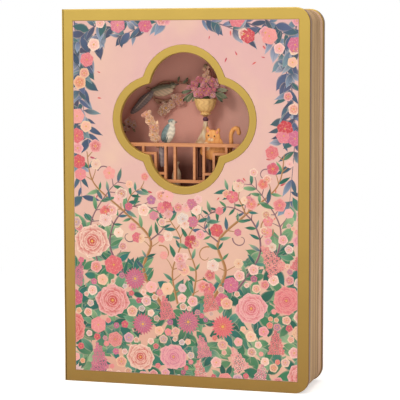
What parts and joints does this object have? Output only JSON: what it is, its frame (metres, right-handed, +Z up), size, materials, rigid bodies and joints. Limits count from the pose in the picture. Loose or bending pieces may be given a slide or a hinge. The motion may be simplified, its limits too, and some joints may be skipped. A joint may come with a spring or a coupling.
{
  "type": "notebook",
  "caption": "Thick hardcover notebook whose front cover has a quatrefoil window over a shallow box with a carved garden scene.",
  "frame": {"origin": "middle of the footprint on the surface that the notebook stands on", "axes": "+Z up along the spine, the front cover faces -Y, the fore edge is at +X and the spine at -X"},
  "size_m": [0.145, 0.04, 0.215],
  "materials": {
    "gold_foil": "board wrapped in satin gold foil paper",
    "printed_paper": "pink paper printed with flowers, satin",
    "layered_board": "tan layered board with bare cut edges",
    "pink_board": "matt dusty pink card",
    "light_wood": "laser-cut thin wood, orange brown",
    "dark_wood": "red brown stained wood",
    "grey_relief": "painted carved relief, grey and cream",
    "blossom_relief": "painted carved relief, pink and cream",
    "orange_relief": "painted carved relief, orange",
    "ivory_relief": "painted turned wood, ivory",
    "yellow_relief": "painted turned wood, yellow",
    "rose_relief": "painted carved relief, rose and green",
    "page_paper": "cut edges of cream pages, matt"
  },
  "bodies": {
    "book_block": {"spine": "gold_foil", "page_block": "page_paper"},
    "front_lid": {"front_cover": "gold_foil", "cover_print": "printed_paper", "scene_frame_front": "layered_board", "scene_frame_middle": "layered_board", "scene_frame_rear": "layered_board", "scene_backdrop": "pink_board", "lattice_railing": "light_wood", "rail_bird": "grey_relief", "rail_blossoms": "blossom_relief", "cat": "orange_relief", "urn_stool": "dark_wood", "urn_pedestal": "ivory_relief", "flower_urn": "yellow_relief", "urn_bouquet": "rose_relief", "floor_vase": "ivory_relief", "blossom_branch": "blossom_relief", "branch_bird": "grey_relief", "wall_sprig": "blossom_relief"},
    "back_board": {"back_cover": "gold_foil"}
  },
  "joints": [
    {"name": "front_cover_hinge", "type": "hinge", "parent": "book_block", "child": "front_lid", "pos_m": [-0.0717, -0.02, 0.1075], "axis": [0, 0, -1], "range_deg": [0, 180]},
    {"name": "back_cover_hinge", "type": "hinge", "parent": "book_block", "child": "back_board", "pos_m": [-0.0717, 0.02, 0.1075], "axis": [0, 0, 1], "range_deg": [0, 180]}
  ]
}
